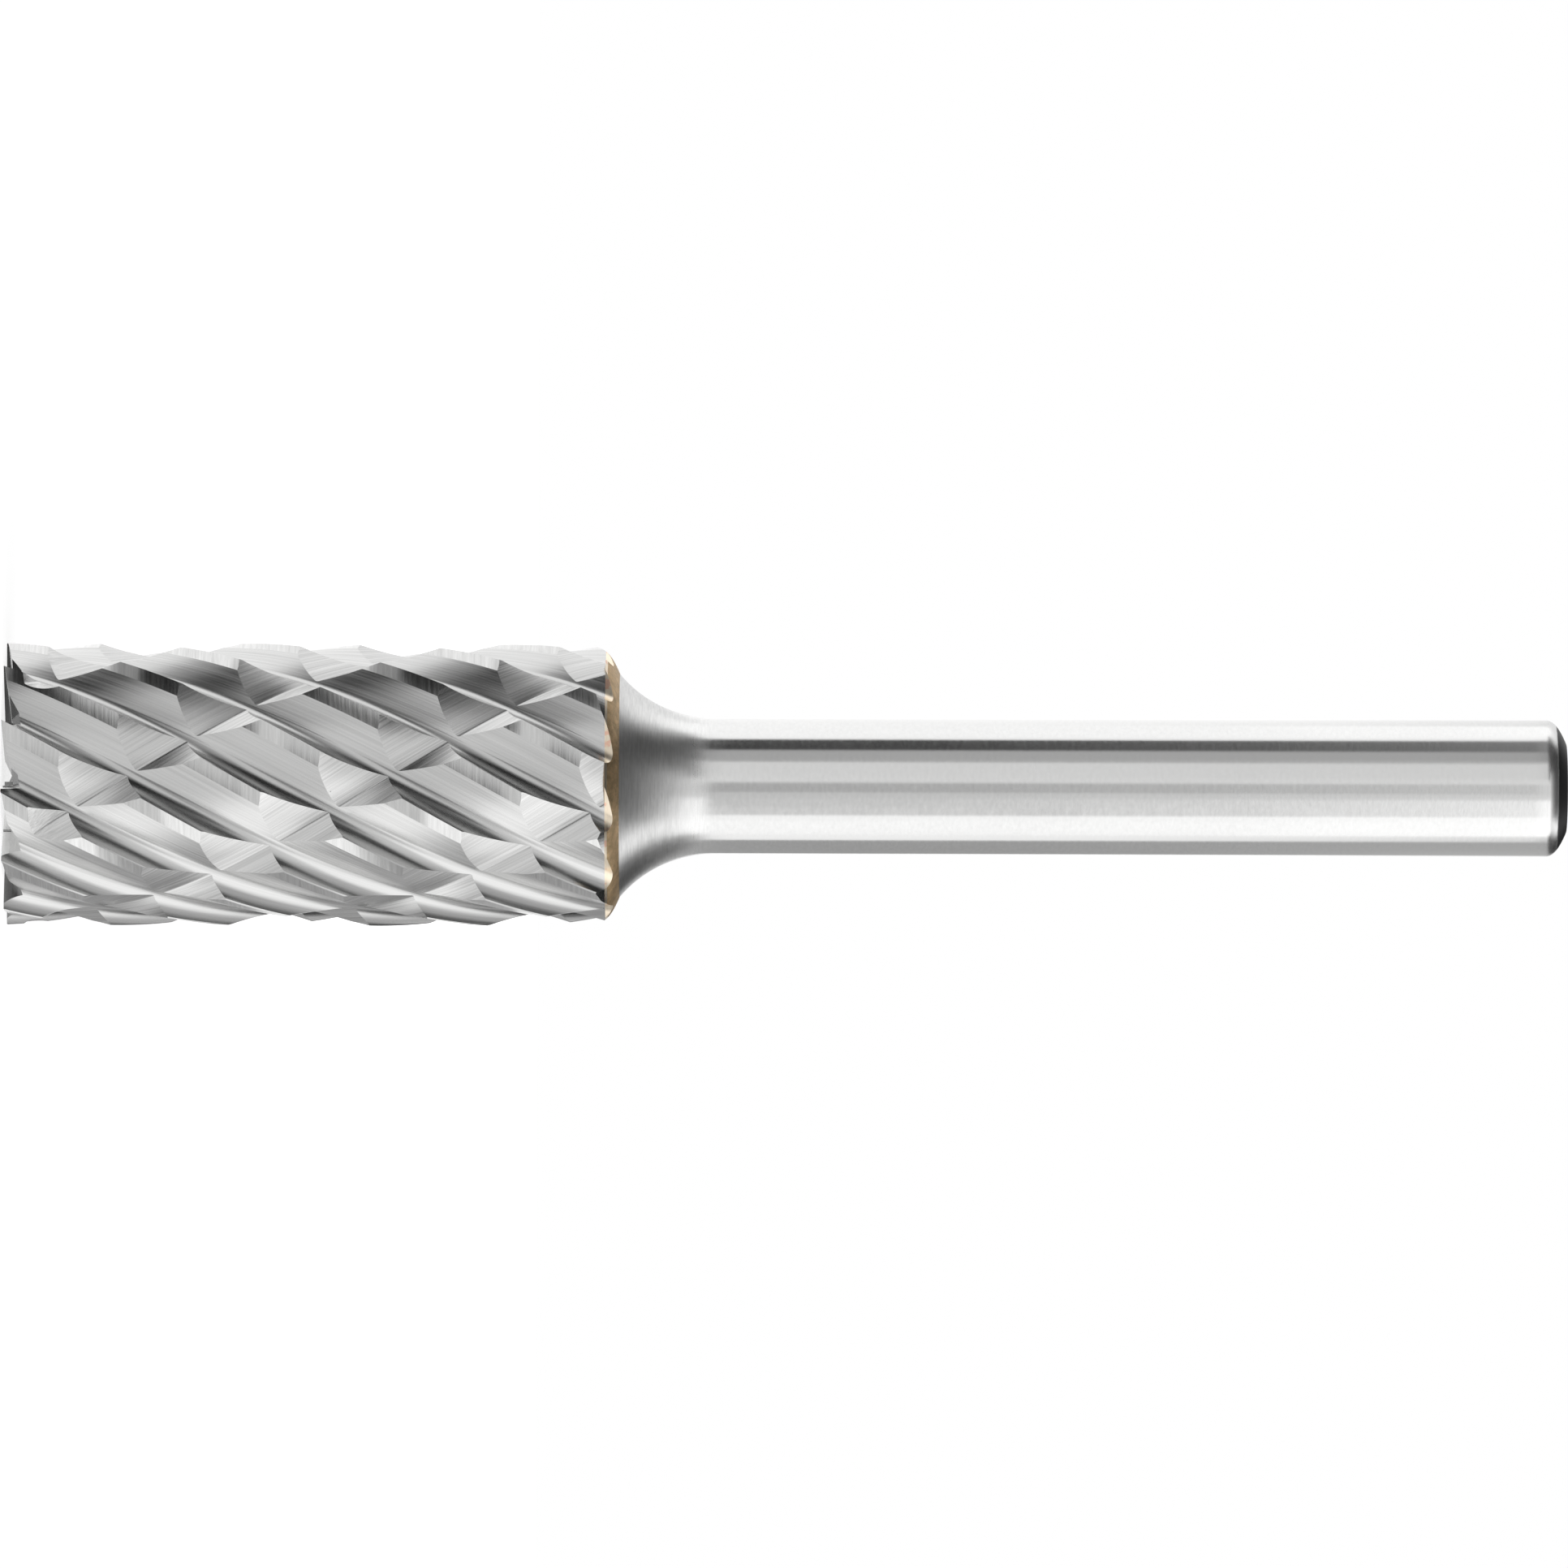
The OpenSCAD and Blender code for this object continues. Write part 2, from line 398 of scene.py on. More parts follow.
class Breaker:
    """Outline of the metal between two chip breakers, with the direction that the groove sides run in."""

    def __init__(self, head):
        radius = head.diameter / MM / 2
        self.turn = TURN / head.breakers
        deep = radius - head.breaker_depth / MM
        front = head.breaker_front / MM / radius
        back = head.breaker_back / MM / radius
        corner = head.breaker_round / MM
        swell = head.breaker_swell / MM
        self.run_out = head.breaker_run_out / MM
        self.shallowing = 2 * head.breaker_depth / MM / radius
        bottom = polar(deep, 0)
        short = polar(radius, back) - bottom
        long = polar(radius, -front) - bottom
        outwards = np.array([-long[1], long[0]]) / np.hypot(*long)

        def long_side(t):
            """From the bottom of the groove, at 0, to the cutting edges, at 1, and on past them."""
            return bottom + long * t + outwards * swell * 4 * t * (1 - t)

        start = corner / np.hypot(*long)
        rise_a = long_side(start)
        rise_b = bottom + short / np.hypot(*short) * corner
        bend = [
            rise_a * (1 - f) ** 2 + bottom * 2 * f * (1 - f) + rise_b * f**2
            for f in np.linspace(0, 1, 6)
        ]
        short_end = bottom + short * SIDE_CARRY
        points = bend[2:-1] + [rise_b + (short_end - rise_b) * f for f in np.linspace(0, 1, 5)]
        kinds = [BREAKER] * (len(points) - 1) + [END]
        points.append(polar(radius * 2, self.turn / 2))
        kinds.append(END)
        side = [long_side(t) for t in np.linspace(SIDE_CARRY, start, 10)]
        tail = side + bend[1:2]
        points += list(spin(np.array(tail), self.turn))
        kinds += [BREAKER] * len(tail)
        self.points = np.array(points)
        self.kinds = kinds
        # Headings of the long side, the round bottom and the short side, by the angle from the bottom.
        at, heading = headings([long_side(t) for t in np.linspace(SIDE_CARRY, start, 25)] + bend[1:])
        self.at = np.append(at, math.atan2(rise_b[1], rise_b[0]))
        self.heading = np.unwrap(np.append(heading, math.atan2(short[1], short[0])))

    def widening(self, z):
        """The grooves grow shallow towards the end teeth, as the wheel leaves the head."""
        return 1 + self.shallowing * np.clip((self.run_out - z) / self.run_out, 0, 1) ** 2

    def ring(self, breakers):
        """Points and finishes all round."""
        points = np.concatenate([spin(self.points, i * self.turn) for i in range(breakers)])
        return points, self.kinds * breakers


def true_normals(mesh, tooth, breaker, head):
    """Normals of the wound surfaces as they are ground, so that slivers along the cuts don't show."""
    corners = len(mesh.loops)
    vertex = np.empty(corners, np.int32)
    mesh.loops.foreach_get("vertex_index", vertex)
    place = np.empty(len(mesh.vertices) * 3, np.float32)
    mesh.vertices.foreach_get("co", place)
    place = place.reshape(-1, 3).astype(float)[vertex]
    starts = np.empty(len(mesh.polygons), np.int32)
    totals = np.empty(len(mesh.polygons), np.int32)
    kind = np.empty(len(mesh.polygons), np.int32)
    flat = np.empty(len(mesh.polygons) * 3, np.float32)
    mesh.polygons.foreach_get("loop_start", starts)
    mesh.polygons.foreach_get("loop_total", totals)
    mesh.polygons.foreach_get("material_index", kind)
    mesh.polygons.foreach_get("normal", flat)
    face = np.repeat(np.arange(len(mesh.polygons)), totals)
    kind = kind[face]
    normals = flat.reshape(-1, 3).astype(float)[face]
    x, y, z = place.T
    around = np.arctan2(y, x)

    def wound(which, heading, rate):
        """Normal of a surface whose outline runs along heading and is wound at rate."""
        tx, ty = np.cos(heading[which]), np.sin(heading[which])
        hx, hy = -rate * y[which], rate * x[which]
        n = np.stack([ty, -tx, tx * hy - ty * hx], axis=1)
        normals[which] = n / np.linalg.norm(n, axis=1)[:, None]

    rate = TURN / (head.flute_lead / MM)
    local = (around - rate * z) % tooth.turn
    base = around - local
    wound(kind == LAND, base + tooth.land_heading, rate)
    wound(kind == BACK, base + np.interp(local, tooth.back_at, tooth.back_heading), rate)
    late = np.where(local < tooth.turn / 2, local + tooth.turn, local)
    wound(kind == FLUTE, around - late + np.interp(late, tooth.flute_at, tooth.flute_heading), rate)
    wound(kind == HONE, around - late + tooth.hone_heading, rate)
    rate = -TURN / (head.breaker_lead / MM)
    half = breaker.turn / 2
    local = (around - head.breaker_start - rate * z + half) % breaker.turn - half
    wound(kind == BREAKER, around - local + np.interp(local, breaker.at, breaker.heading), rate)
    mesh.normals_split_custom_set(normals.tolist())


def settle(thing, body, slot_name, *replaced):
    """Puts a piece on its body, in metres, in place of its CAD node."""
    thing.data.transform(Matrix.Scale(MM, 4))
    thing.data.update()
    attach(thing, body)
    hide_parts(*replaced)


# Materials


class Shader:
    """A node material with one surface shader."""

    def __init__(self, name):
        self.material = bpy.data.materials.new(name)
        self.material.use_nodes = True
        self.tree = self.material.node_tree
        self.surface = self.tree.nodes["Principled BSDF"]

    def add(self, kind, inputs=None, **settings):
        """A node with its settings, and its inputs set or linked."""
        made = self.tree.nodes.new("ShaderNode" + kind)
        for key, value in settings.items():
            setattr(made, key, value)
        for key, value in (inputs or {}).items():
            self.feed(made.inputs[key], value)
        return made

    def feed(self, socket, value):
        if isinstance(value, bpy.types.NodeSocket):
            self.tree.links.new(value, socket)
        else:
            socket.default_value = value

    def maths(self, operation, a, b):
        return self.add("Math", {0: a, 1: b}, operation=operation).outputs[0]

    def place(self):
        """Where a point is on the piece, in metres."""
        return self.add("TexCoord").outputs["Object"]

    def height(self, place):
        return self.add("SeparateXYZ", {0: place}).outputs["Z"]

    def unwound(self, place, lead):
        """The same place with the winding undone, so that a streak runs straight up."""
        turn = self.maths("MULTIPLY", self.height(place), -TURN / lead)
        return self.add("VectorRotate", {"Vector": place, "Angle": turn}, rotation_type="Z_AXIS").outputs[0]

    def streaks(self, place, across, along, detail=3.0, flat=False):
        """Noise stretched along the axis, or round it when flat. The sizes are in metres."""
        wide, tall = (1 / along, 1 / across) if flat else (1 / across, 1 / along)
        scaled = self.add("VectorMath", {0: place, 1: (wide, wide, tall)}, operation="MULTIPLY").outputs[0]
        inputs = {"Vector": scaled, "Scale": 1.0, "Detail": detail, "Roughness": 0.6}
        return self.add("TexNoise", inputs).outputs["Fac"]

    def spread(self, value, low, high, new_low, new_high, how="LINEAR"):
        """The range from low to high, carried over to the new range and held at its ends."""
        inputs = {"Value": value, "From Min": low, "From Max": high, "To Min": new_low, "To Max": new_high}
        return self.add("MapRange", inputs, interpolation_type=how).outputs[0]

    def blend(self, factor, a, b, how="MIX"):
        mix = self.add("Mix", {0: factor, 6: a, 7: b}, data_type="RGBA", blend_type=how)
        return mix.outputs[2]

    def mixed(self, a, b, share_of_b):
        """Two values added up by their shares."""
        part_of_a = self.maths("MULTIPLY", a, 1 - share_of_b)
        return self.maths("ADD", part_of_a, self.maths("MULTIPLY", b, share_of_b))

    def grey(self, tone):
        return self.add("CombineColor", {0: tone, 1: tone, 2: tone}).outputs[0]

    def bump(self, height, depth):
        """A normal from a height between 0 and 1. The depth is in metres."""
        return self.add("Bump", {"Height": height, "Distance": depth, "Strength": 1.0}).outputs[0]

    def scratched(self, amount, turn):
        """Draws reflections out across the grinding marks. The marks turn this far from round the axis."""
        round_axis = self.add("Tangent", direction_type="RADIAL", axis="Z")
        self.surface.inputs["Anisotropic"].default_value = amount
        self.surface.inputs["Anisotropic Rotation"].default_value = (0.25 + turn / TURN) % 0.5
        self.feed(self.surface.inputs["Tangent"], round_axis.outputs[0])


def rgba(colour, factor=1.0):
    return (*[min(1.0, c * factor) for c in colour], 1.0)


def ground_metal(
    name, colour, rough, across, along, contrast, depth, lead=0.0, flat=False, pits=0.0, drawn=0.8
):
    """Ground metal, streaked along a winding of the given lead or, when flat, round the axis.

    Streaks are across by along millimetres and depth micrometres deep. Pits is the share of cells that
    has one, and drawn is how far reflections are drawn out.
    """
    shader = Shader(name)
    place = shader.place()
    way = shader.unwound(place, lead) if lead else place
    fine = shader.streaks(way, across * MM, along * MM, flat=flat)
    broad = shader.streaks(way, across * 4.5 * MM, along * 1.6 * MM, detail=2.0, flat=flat)
    both = shader.mixed(fine, broad, 0.35)
    tone = shader.spread(both, 0.32, 0.68, 1 - contrast, 1 + contrast * 0.8)
    paint = shader.blend(1.0, rgba(colour), shader.grey(tone), "MULTIPLY")
    if pits:
        cells = shader.add("TexVoronoi", {"Vector": place, "Scale": PIT_CELLS, "Randomness": 1.0})
        dot = shader.maths("LESS_THAN", cells.outputs["Distance"], PIT_SIZE)
        chance = shader.add("SeparateColor", {0: cells.outputs["Color"]}).outputs[0]
        rare = shader.maths("LESS_THAN", chance, pits)
        paint = shader.blend(shader.maths("MULTIPLY", dot, rare), paint, rgba(colour, PIT_TONE))
    shader.feed(shader.surface.inputs["Base Color"], paint)
    shader.surface.inputs["Metallic"].default_value = 1.0
    gloss = shader.spread(both, 0.3, 0.7, rough * 0.8, rough * 1.25)
    shader.feed(shader.surface.inputs["Roughness"], gloss)
    shader.feed(shader.surface.inputs["Normal"], shader.bump(both, depth * MICRON))
    if drawn:
        shader.scratched(drawn, math.atan2(lead, TURN * HEAD_ACROSS / 2) if lead else 0.0)
    return shader.material


def carbide_finishes(head, finish):
    """Materials of the head, in the order of its finishes."""
    colour, rough = finish.carbide, finish.carbide_roughness
    flute, breaker = head.flute_lead, -head.breaker_lead
    # Name, how many times the roughness, streak sizes, contrast and depth, and what else the finish has.
    finishes = {
        LAND: ("Ground lands", 0.72, 0.11, 2.2, 0.16, 4, {"flat": True, "pits": 0.1}),
        BACK: ("Ground tooth backs", 1, 0.11, 9, 0.17, 2.8, {"lead": flute, "pits": 0.06}),
        FLUTE: ("Ground flutes", 1, 0.1, 12, 0.08, 1.2, {"lead": flute}),
        HONE: ("Honed edges", 1, 0.05, 0.4, 0.1, 0.6, {"lead": flute}),
        BREAKER: ("Ground chip breakers", 1, 0.09, 6, 0.24, 3.2, {"lead": breaker, "pits": 0.06}),
        CORNER: ("Ground corner", 1, 0.08, 2, 0.12, 1.5, {"flat": True}),
        END: ("Ground end", 1, 0.12, 1.5, 0.12, 1.5, {"flat": True}),
        HOLLOW: ("Sintered hollow", 2, 0.1, 0.1, 0.2, 6, {"drawn": 0}),
    }
    return [
        ground_metal(name, colour, rough * rougher, across, along, contrast, depth, **more)
        for name, rougher, across, along, contrast, depth, more in finishes.values()
    ]


def braze_finishes(finish):
    """The skin of the braze, and the braze where the flutes cut it."""
    skin = Shader("Braze skin")
    place = skin.place()
    blotch = skin.streaks(place, 0.35 * MM, 0.35 * MM, detail=4.0)
    grain = skin.streaks(place, 0.08 * MM, 0.08 * MM, detail=3.0)
    both = skin.mixed(blotch, grain, 0.3)
    dark, bright = rgba(finish.braze_skin, 0.75), rgba(finish.braze_skin, 1.3)
    gold = skin.blend(skin.spread(both, 0.35, 0.65, 0, 1), dark, bright)
    skin.feed(skin.surface.inputs["Base Color"], gold)
    skin.surface.inputs["Metallic"].default_value = 1.0
    skin.feed(skin.surface.inputs["Roughness"], skin.spread(grain, 0.3, 0.7, 0.42, 0.55))
    skin.feed(skin.surface.inputs["Normal"], skin.bump(both, 30 * MICRON))

    bare = Shader("Cut braze")
    place = bare.place()
    blotch = bare.streaks(place, 0.5 * MM, 0.5 * MM, detail=2.0)
    grain = bare.streaks(place, 0.1 * MM, 0.8 * MM, detail=2.0, flat=True)
    dark, bright = rgba(finish.braze_cut, 0.93), rgba(finish.braze_cut, 1.05)
    cream = bare.blend(bare.spread(grain, 0.3, 0.7, 0, 1), dark, bright)
    mixed = bare.blend(bare.spread(blotch, 0.56, 0.62, 0, 0.8), cream, rgba(finish.copper))
    bare.feed(bare.surface.inputs["Base Color"], mixed)
    bare.surface.inputs["Metallic"].default_value = 1.0
    bare.feed(bare.surface.inputs["Roughness"], bare.spread(grain, 0.3, 0.7, 0.3, 0.38))
    bare.feed(bare.surface.inputs["Normal"], bare.bump(grain, 1.5 * MICRON))
    return [skin.material, bare.material]


def neck_reach(shank):
    """How far above its foot the curve of the neck runs into the straight shank."""
    return math.sqrt(shank.neck_round**2 - (shank.neck_round - (shank.neck - shank.diameter) / 2) ** 2)


def steel_finish(head, shank, finish):
    """Ground steel: turned marks on the neck, fine grain on the shank, black at the very end."""
    shader = Shader("Ground steel")
    place = shader.place()
    up = shader.height(place)
    neck_top = head.height + shank.braze + neck_reach(shank)
    black_from = shank.top - shank.black_end
    marks = shader.streaks(place, 0.07 * MM, 0.9 * MM, flat=True)
    grain = shader.streaks(place, 0.16 * MM, 0.3 * MM, detail=4.0, flat=True)
    cloud = shader.streaks(place, 1.6 * MM, 5.0 * MM)
    speck = shader.mixed(grain, cloud, 0.3)

    on_neck = shader.spread(up, neck_top - 2.6 * MM, neck_top + 1.0 * MM, 1.0, 0.0, "SMOOTHSTEP")
    on_end = shader.spread(up, shank.top - 1.0 * MM, shank.top - 0.7 * MM, 0.0, 0.2)
    ragged = shader.maths("MULTIPLY", shader.maths("SUBTRACT", grain, 0.5), 0.06 * MM)
    edge = shader.maths("ADD", up, ragged)
    black = shader.spread(edge, black_from - 0.02 * MM, black_from + 0.03 * MM, 0.0, 1.0)

    neck_tone = shader.maths("MULTIPLY", on_neck, shader.spread(marks, 0.3, 0.7, -0.14, 0.06))
    tone = shader.maths("ADD", shader.spread(speck, 0.3, 0.7, 0.96, 1.04), neck_tone)
    bright = shader.blend(1.0, rgba(finish.steel), shader.grey(tone), "MULTIPLY")
    shader.feed(shader.surface.inputs["Base Color"], shader.blend(black, bright, rgba(finish.black)))
    shader.feed(shader.surface.inputs["Metallic"], shader.maths("SUBTRACT", 1.0, black))

    smooth, dull = finish.steel_roughness * 0.85, finish.steel_roughness * 1.15
    rough = shader.spread(speck, 0.3, 0.7, smooth, dull)
    for more, where in ((0.25, on_neck), (1.0, on_end), (0.2, black)):
        rough = shader.maths("ADD", rough, shader.maths("MULTIPLY", where, more))
    shader.feed(shader.surface.inputs["Roughness"], rough)

    neck_cut = shader.maths("MULTIPLY", shader.maths("MULTIPLY", marks, on_neck), 2.6)
    fine_cut = shader.maths("ADD", grain, shader.maths("MULTIPLY", marks, 0.35))
    relief = shader.maths("ADD", fine_cut, neck_cut)
    shader.feed(shader.surface.inputs["Normal"], shader.bump(relief, 1.3 * MICRON))
    shader.scratched(0.75, 0.0)
    return shader.material


# Pieces


def wedge_points(radius, a1, z1, a2, z2, low):
    """A plate across the end cuts at this radius, deepening from z1 at angle a1 to z2 at angle a2."""
    return [(radius, radius * math.tan(a), z) for a, z in ((a1, z1), (a2, z2), (a2, low), (a1, low))]


class BURR_OT_head(bpy.types.Operator):
    """Build the carbide head with its flutes, chip breakers and end teeth"""

    bl_idname = "burr.head"
    bl_label = "Carbide head"

    def execute(self, context):
        head = context.scene.burr_head
        materials = carbide_finishes(head, context.scene.burr_finishes)
        tooth, breaker = Tooth(head), Breaker(head)
        radius, top = head.diameter / MM / 2, head.height / MM
        lead, slices = head.flute_lead / MM, head.slices
        span = (0, top + SPARE)
        body = wound_prism("carbide_head", *tooth.ring(head.teeth), span, lead, 0, slices, materials)
        grooves = wound_prism(
            "grooves",
            *breaker.ring(head.breakers),
            (-SPARE, top + 2 * SPARE),
            -head.breaker_lead / MM,
            head.breaker_start,
            slices,
            materials,
            breaker.widening,
        )
        cut(body, grooves, "INTERSECT")
        corner, outside = top - head.corner_length / MM, radius + SPARE
        profile = [(0, -SPARE), (outside, -SPARE), (outside, corner), (radius, corner)]
        profile += [(radius - head.corner_depth / MM, top), (0, top)]
        blank = turned_blank("blank", profile, [END] + [CORNER] * 4, HEAD_STEPS, materials)
        cut(body, blank, "INTERSECT")
        self.cut_end(body, head, tooth, radius, materials)
        body.data.polygons.foreach_set("use_smooth", np.ones(len(body.data.polygons), bool))
        true_normals(body.data, tooth, breaker, head)
        settle(body, "root", "carbide", "burr_head")
        return {"FINISHED"}

    def cut_end(self, body, head, tooth, radius, materials):
        """Relief and gash of every end tooth, and the hollow."""
        rake = head.rake / MM / radius
        hollow, floor = head.hollow / MM / 2, head.hollow_depth / MM
        relief, inner = head.relief / MM, hollow - RELIEF_OVERLAP
        gash_inner = head.gash_inner / MM / 2
        outer = radius + SPARE
        shallow = relief - GASH_RUNOUT
        deep = shallow + (head.gash_depth / MM - shallow) * (outer - gash_inner) / (radius - gash_inner)
        relief_end = (tooth.turn - rake * RELIEF_REST_SHARE, relief, -SPARE)
        gash_start, gash_turn = tooth.turn * GASH_START_SHARE, tooth.turn - rake * GASH_REST_SHARE
        cuts = (
            wedge_points(outer, 0, 0, *relief_end) + wedge_points(inner, 0, 0, *relief_end),
            wedge_points(outer, gash_start, 0, gash_turn, deep, -SPARE)
            + wedge_points(gash_inner, gash_start, 0, gash_turn, shallow, -SPARE),
        )
        for i in range(head.teeth):
            c, s = math.cos(i * tooth.turn), math.sin(i * tooth.turn)
            for points in cuts:
                turned = [(x * c - y * s, x * s + y * c, z) for x, y, z in points]
                cut(body, hull_of("end_cut", turned, END, materials), "DIFFERENCE")
        profile = [(0, -SPARE), (hollow, -SPARE), (hollow, floor), (0, floor)]
        drill = turned_blank("hollow", profile, [END, HOLLOW, HOLLOW], HOLLOW_STEPS, materials)
        cut(body, drill, "DIFFERENCE")


class BURR_OT_braze(bpy.types.Operator):
    """Build the braze joint, with the ends of the flutes cut into it"""

    bl_idname = "burr.braze"
    bl_label = "Braze joint"

    # Rows up its side, how many of them at the foot are bare, steps of the winding and its spare length.
    rows, bare_rows, slices, past = 12, 2, 24, 0.3

    def execute(self, context):
        head, shank = context.scene.burr_head, context.scene.burr_shank
        materials = braze_finishes(context.scene.burr_finishes)
        low, high = head.height / MM, (head.height + shank.braze) / MM
        rim, neck = (head.diameter / 2 - head.corner_depth) / MM, shank.neck / MM / 2
        swell = shank.braze_swell / MM
        outline, kinds = Tooth(head).ring(head.teeth)
        finishes = [BARE] * len(kinds)
        span, lead = (low - self.past, high + self.past), head.flute_lead / MM
        body = wound_prism("braze_ring", outline, finishes, span, lead, 0, self.slices, materials)
        profile = [(0, low)]
        for s in np.linspace(0, 1, self.rows + 1):
            profile.append((rim + (neck - rim) * s + swell * 4 * s * (1 - s), low + (high - low) * s))
        profile.append((0, high))
        finishes = [SKIN] + [BARE] * self.bare_rows + [SKIN] * (self.rows + 1 - self.bare_rows)
        cut(body, turned_blank("cone", profile, finishes, BRAZE_STEPS, materials), "INTERSECT")
        body.data.polygons.foreach_set("use_smooth", np.ones(len(body.data.polygons), bool))
        body.data.set_sharp_from_angle(angle=BRAZE_SHARP)
        settle(body, "root", "braze", "braze_joint")
        return {"FINISHED"}


class BURR_OT_shank(bpy.types.Operator):
    """Turn the steel shank with its neck and its rounded end"""

    bl_idname = "burr.shank"
    bl_label = "Steel shank"

    def execute(self, context):
        head, shank = context.scene.burr_head, context.scene.burr_shank
        foot = (head.height + shank.braze) / MM
        top = shank.top / MM
        radius, curve, reach = shank.diameter / MM / 2, shank.neck_round / MM, neck_reach(shank) / MM
        profile = [(0, foot)]
        for h in np.linspace(0, reach, 40):
            profile.append((radius + curve - math.sqrt(curve**2 - (reach - h) ** 2), foot + h))
        rounding = shank.end_length / MM
        for h in np.linspace(foot + reach, top - rounding, 60)[1:-1]:
            profile.append((radius, h))
        for s in np.linspace(0, 1, 14):
            profile.append((radius - shank.end_depth / MM * s**END_POWER, top - (1 - s) * rounding))
        profile.append((0, top))
        material = steel_finish(head, shank, context.scene.burr_finishes)
        body = turned_blank("steel_shank", profile, [0] * (len(profile) - 1), SHANK_STEPS, [material])
        body.data.polygons.foreach_set("use_smooth", np.ones(len(body.data.polygons), bool))
        body.data.set_sharp_from_angle(angle=SHANK_SHARP)
        settle(body, "root", "shank_steel", "shank")
        return {"FINISHED"}


# Studio


# Tone of the bare tent cloth, and the power that turns a tone into brightness.
CLOTH_TONE, TONE_POWER = 0.8, 2.2

# What hangs in the tent, in degrees: name, angle from and to, elevation from and to, softness of the
# edges, tone. Angle 0 faces the camera, and 90 the top of the picture. Elevation grows towards the shank.
# A later one hangs in front. The belts and those between them are level with the burr, where the shank
# mirrors them.
PANELS = (
    ("far cloth", -165, -100, -95, 95, 20, 0.6),
    ("low flag", -90, -70, -95, -25, 10, 0.35),
    ("side cloth", 45, 90, -95, 95, 10, 0.55),
    ("top cloth", 90, 130, -95, 95, 10, 0.95),
    ("key", -90, -60, -30, 40, 6, 1.0),
    ("key wing", -70, -20, 5, 40, 8, 1.0),
    ("far shade", -185, -90, 15, 60, 6, 0.15),
    ("camera shade", -35, 5, -16, 0, 8, 0.3),
    ("dark strip", 60, 75, -10, 5, 5, 0.1),
    ("dim flag", 20, 70, -22, -13, 5, 0.15),
    ("upper flag", 15, 100, 15, 25, 8, 0.0),
    ("high cloth", -110, 45, 35, 55, 15, 0.65),
    ("dark flag", 30, 105, 30, 55, 15, 0.15),
    ("end shade", -185, 185, 50, 95, 6, 0.2),
    ("low dark", -80, -35, 50, 80, 6, 0.0),
    ("end glow", -160, -70, 45, 60, 5, 1.0),
    ("top light", 95, 180, -50, 0, 10, 0.95),
    ("foot shade", -185, 185, -95, -50, 10, 0.2),
    ("far foot left", -185, -150, -60, -35, 8, 0.2),
    ("far foot right", 165, 185, -60, -35, 8, 0.2),
    ("side flag", 55, 75, -30, -15, 5, 0.15),
    ("white belt", -185, 185, -6, 6, 5, 0.9),
    ("grey belt", -160, -104, -6, 6, 5, 0.55),
    ("front belt", -50, 64, -6, 6, 5, 0.7),
    ("lens shade", -10, 6, -6, 6, 5, 0.6),
    ("front glow", 7, 42, -6, 6, 5, 0.77),
    ("dim belt", 42, 64, -6, 6, 5, 0.6),
    ("dark belt", 64, 86, -6, 6, 5, 0.2),
)


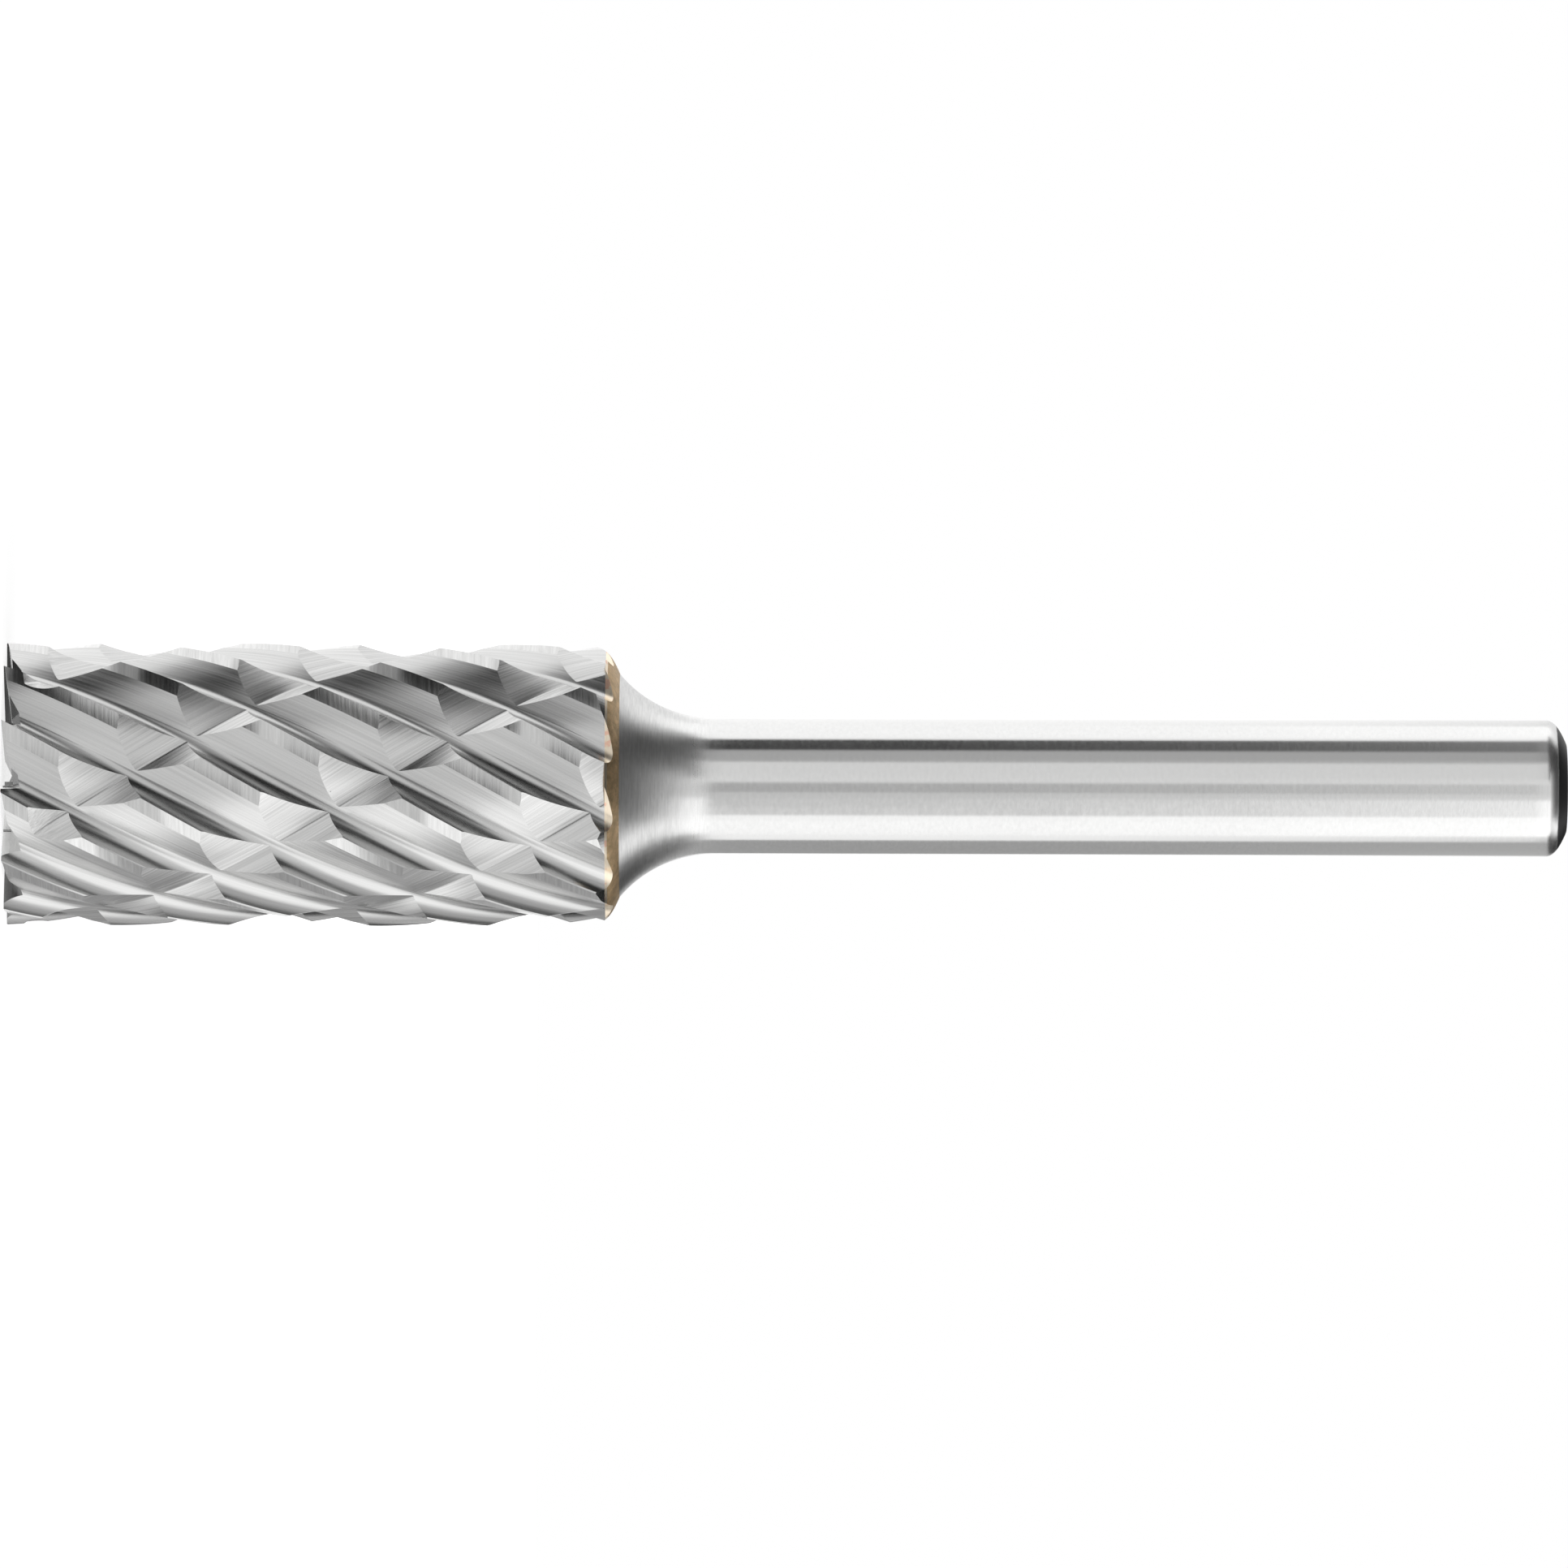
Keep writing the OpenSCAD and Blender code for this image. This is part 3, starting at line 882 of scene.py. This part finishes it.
class BURR_OT_stage(bpy.types.Operator):
    """Set the pale floor, the light tent with its panels, the background and the camera"""

    bl_idname = "burr.stage"
    bl_label = "Floor, light and camera"

    def execute(self, context):
        studio = context.scene.burr_studio
        self.lay_floor(studio)
        self.background(context.scene)
        towards = -TURN / 4 + studio.camera_turn
        self.tent(studio, towards)
        self.camera(context.scene, studio, towards)
        context.scene.view_settings.view_transform = "Standard"
        return {"FINISHED"}

    def lay_floor(self, studio):
        half = studio.floor / 2
        corners = [(-half, -half, 0), (half, -half, 0), (half, half, 0), (-half, half, 0)]
        floor = add_mesh("floor", corners, [(0, 1, 2, 3)])
        shader = Shader("Pale floor")
        shader.surface.inputs["Base Color"].default_value = rgba(studio.floor_colour)
        shader.surface.inputs["Roughness"].default_value = 0.9
        shader.surface.inputs["Specular IOR Level"].default_value = 0.0
        seen = shader.add("LightPath").outputs
        plain = shader.maths("ADD", seen["Is Camera Ray"], seen["Is Glossy Ray"])
        plain = shader.maths("ADD", plain, seen["Is Transmission Ray"])
        glow = shader.maths("MULTIPLY", plain, studio.floor_glow)
        shader.feed(shader.surface.inputs["Emission Strength"], glow)
        shader.surface.inputs["Emission Color"].default_value = (1, 1, 1, 1)
        floor.data.materials.append(shader.material)
        floor.visible_glossy = False

    def background(self, scene):
        """Plain white all round: what the camera sees past the floor."""
        world = bpy.data.worlds.new("white_room")
        world.use_nodes = True
        shown = world.node_tree.nodes["Background"]
        shown.inputs["Color"].default_value = (1, 1, 1, 1)
        shown.inputs["Strength"].default_value = 1.0
        scene.world = world

    def tent(self, studio, towards):
        """A round tent that glows in soft bands, brighter and dimmer as it goes round the burr."""
        steps, rows = 360, 90
        middle = SHANK_HIGH.z / 2
        faces = []
        for j in range(rows):
            for i in range(steps):
                k = (i + 1) % steps
                faces.append((j * steps + i, j * steps + k, (j + 1) * steps + k, (j + 1) * steps + i))
        ring = np.arange(steps) * 360 / steps - 180
        elevation, around = np.meshgrid(np.linspace(-90, 90, rows + 1), ring, indexing="ij")
        elevation, around = elevation.ravel(), around.ravel()
        e, a = np.radians(elevation), towards - np.radians(around)
        points = np.stack([np.cos(a) * np.cos(e), np.sin(a) * np.cos(e), np.sin(e)], axis=1) * studio.tent
        tent = add_mesh("light_tent", points + np.array([0, 0, middle]), faces)
        brightness = tent.data.attributes.new("brightness", "FLOAT", "POINT")
        glow = self.tone(around, elevation) ** TONE_POWER * studio.tent_strength
        brightness.data.foreach_set("value", glow)
        # Nothing samples the tent as a lamp, since every surface looks at it anyway.
        material = bpy.data.materials.new("Tent cloth")
        material.use_nodes = True
        tree = material.node_tree
        tree.nodes.clear()
        painted = tree.nodes.new("ShaderNodeAttribute")
        painted.attribute_name = "brightness"
        shine = tree.nodes.new("ShaderNodeEmission")
        out = tree.nodes.new("ShaderNodeOutputMaterial")
        tree.links.new(painted.outputs["Fac"], shine.inputs["Strength"])
        tree.links.new(shine.outputs[0], out.inputs["Surface"])
        material.cycles.emission_sampling = "NONE"
        tent.data.materials.append(material)
        tent.visible_camera = False
        tent.visible_shadow = False

    def tone(self, around, elevation):
        """Tone of the cloth with its panels, from 0 for black to 1 for white."""

        def window(x, low, high, soft):
            """1 between low and high and 0 outside, with soft edges."""
            rise = np.clip((x - low) / soft + 0.5, 0, 1) * np.clip((high - x) / soft + 0.5, 0, 1)
            return rise * rise * (3 - 2 * rise)

        tone = np.full(len(around), CLOTH_TONE)
        for _, angle_from, angle_to, low, high, soft, panel in PANELS:
            covers = window(around, angle_from, angle_to, soft) * window(elevation, low, high, soft)
            tone += (panel - tone) * covers
        return tone

    def camera(self, scene, studio, towards):
        """At the side of the burr, turned so that the shank points to the right."""
        back = Vector((math.cos(towards), math.sin(towards), 0))
        side = Vector((math.sin(towards), -math.cos(towards), 0))
        axis = Vector((0, 0, 1))
        roll = studio.camera_roll
        right = axis * math.cos(roll) + side * math.sin(roll)
        up = side * math.cos(roll) - axis * math.sin(roll)
        eye = back * studio.distance + axis * studio.view_height + side * studio.view_side
        data = bpy.data.cameras.new("camera")
        data.sensor_width = 36
        data.lens = data.sensor_width * studio.distance / studio.picture
        data.clip_start, data.clip_end = 0.01, 10
        camera = bpy.data.objects.new("camera", data)
        axes = Matrix((right, up, back)).transposed()
        camera.matrix_world = Matrix.Translation(eye) @ axes.to_4x4()
        scene.collection.objects.link(camera)
        scene.camera = camera


class BURR_PT_panel(bpy.types.Panel):
    """The sizes, colours and pieces of the burr"""

    bl_idname = "BURR_PT_panel"
    bl_label = "Carbide burr"
    bl_space_type = "VIEW_3D"
    bl_region_type = "UI"
    bl_category = "Carbide burr"

    def draw(self, context):
        for title, group, operators in PANEL_ROWS:
            box = self.layout.box()
            box.label(text=title)
            sizes = getattr(context.scene, group)
            for key in sizes.__annotations__:
                box.prop(sizes, key)
            for operator in operators:
                box.operator(operator)


PANEL_ROWS = (
    ("Head", "burr_head", ("burr.head",)),
    ("Braze and shank", "burr_shank", ("burr.braze", "burr.shank")),
    ("Finishes", "burr_finishes", ()),
    ("Studio", "burr_studio", ("burr.stage",)),
)
GROUPS = {
    "burr_head": HeadSizes,
    "burr_shank": ShankSizes,
    "burr_finishes": Finishes,
    "burr_studio": StudioSizes,
}
CLASSES = (*GROUPS.values(), BURR_OT_head, BURR_OT_braze, BURR_OT_shank, BURR_OT_stage, BURR_PT_panel)


def register():
    for made in CLASSES:
        bpy.utils.register_class(made)
    for name, group in GROUPS.items():
        setattr(bpy.types.Scene, name, PointerProperty(type=group))


def unregister():
    for name in GROUPS:
        delattr(bpy.types.Scene, name)
    for made in reversed(CLASSES):
        bpy.utils.unregister_class(made)


def main():
    register()
    bpy.ops.burr.head()
    bpy.ops.burr.braze()
    bpy.ops.burr.shank()
    bpy.ops.burr.stage()


if __name__ == "__main__":
    main()
